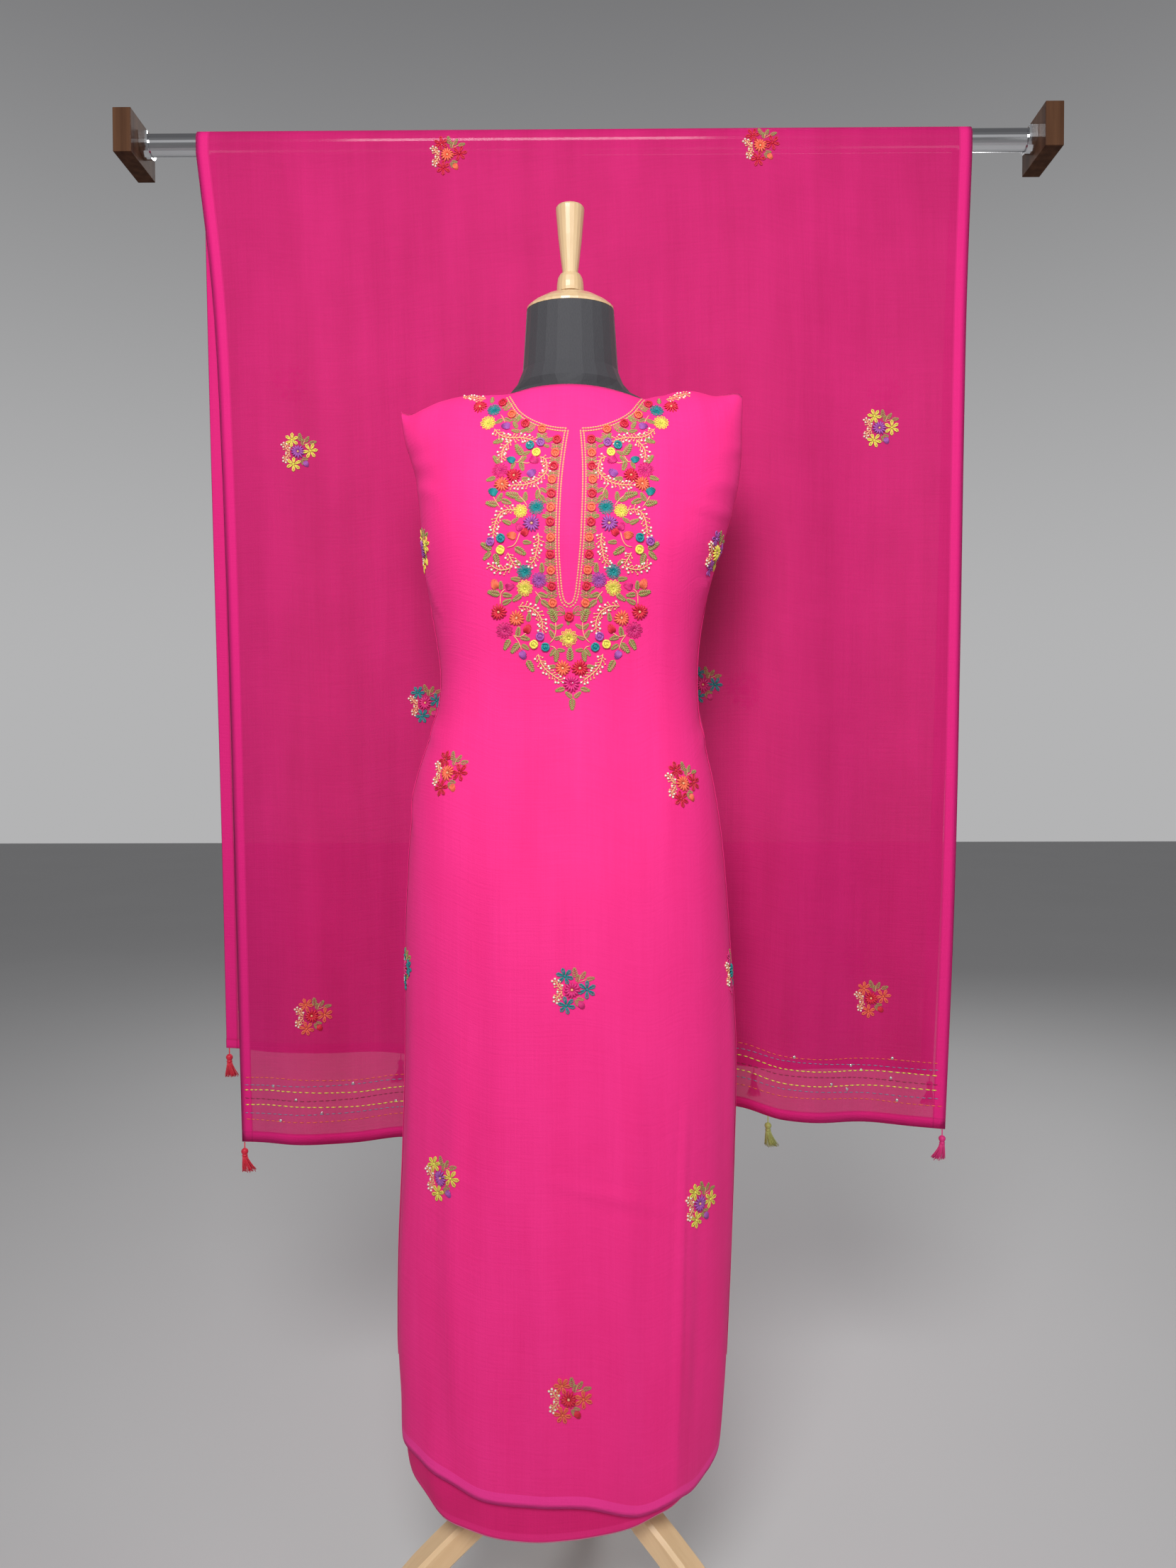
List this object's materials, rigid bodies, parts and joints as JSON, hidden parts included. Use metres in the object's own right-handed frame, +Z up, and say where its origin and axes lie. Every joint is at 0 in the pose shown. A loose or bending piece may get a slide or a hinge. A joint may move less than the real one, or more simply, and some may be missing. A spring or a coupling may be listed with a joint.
{
  "type": "salwar kameez suit on a dress form with its dupatta over a rod",
  "caption": "Unstitched salwar kameez suit cloth draped on a limbless dress form, with its sheer tasselled dupatta folded over a rod behind.",
  "frame": {"origin": "on the floor under the middle of the whole, from side to side and from front to back", "axes": "+Z up, -Y towards the viewer of the suit's front, +X to that viewer's right, along the rod"},
  "size_m": [1.19, 0.4766, 1.8245],
  "materials": {
    "kameez_cloth": "hot pink georgette",
    "salwar_cloth": "crimson-pink plain cloth",
    "dupatta_cloth": "sheer pink georgette",
    "form_cloth": "charcoal jersey",
    "pale_wood": "varnished pale wood",
    "walnut": "walnut-coloured board",
    "chrome": "polished chrome",
    "thread_red": "red silk thread",
    "thread_teal": "teal silk thread",
    "thread_yellow": "yellow silk thread",
    "thread_olive": "olive silk thread",
    "thread_magenta": "magenta silk thread"
  },
  "bodies": {
    "root": {"form_torso": "form_cloth", "form_neck_cap": "pale_wood", "form_finial": "pale_wood", "form_pole": "chrome", "form_hub": "pale_wood", "form_leg_1": "pale_wood", "form_leg_2": "pale_wood", "form_leg_3": "pale_wood", "salwar_cloth": "salwar_cloth", "kameez_front": "kameez_cloth", "kameez_back": "kameez_cloth", "rod": "chrome", "rod_cup_left": "chrome", "rod_cup_right": "chrome", "rod_block_left": "walnut", "rod_block_right": "walnut", "dupatta_front_fall": "dupatta_cloth", "dupatta_over_rod": "dupatta_cloth", "dupatta_back_fall": "dupatta_cloth", "tassel_front_1_red": "thread_red", "tassel_front_2_teal": "thread_teal", "tassel_front_3_yellow": "thread_yellow", "tassel_front_4_olive": "thread_olive", "tassel_front_5_magenta": "thread_magenta", "tassel_back_1_red": "thread_red", "tassel_back_2_teal": "thread_teal", "tassel_back_3_yellow": "thread_yellow", "tassel_back_4_olive": "thread_olive", "tassel_back_5_magenta": "thread_magenta"}
  },
  "joints": []
}
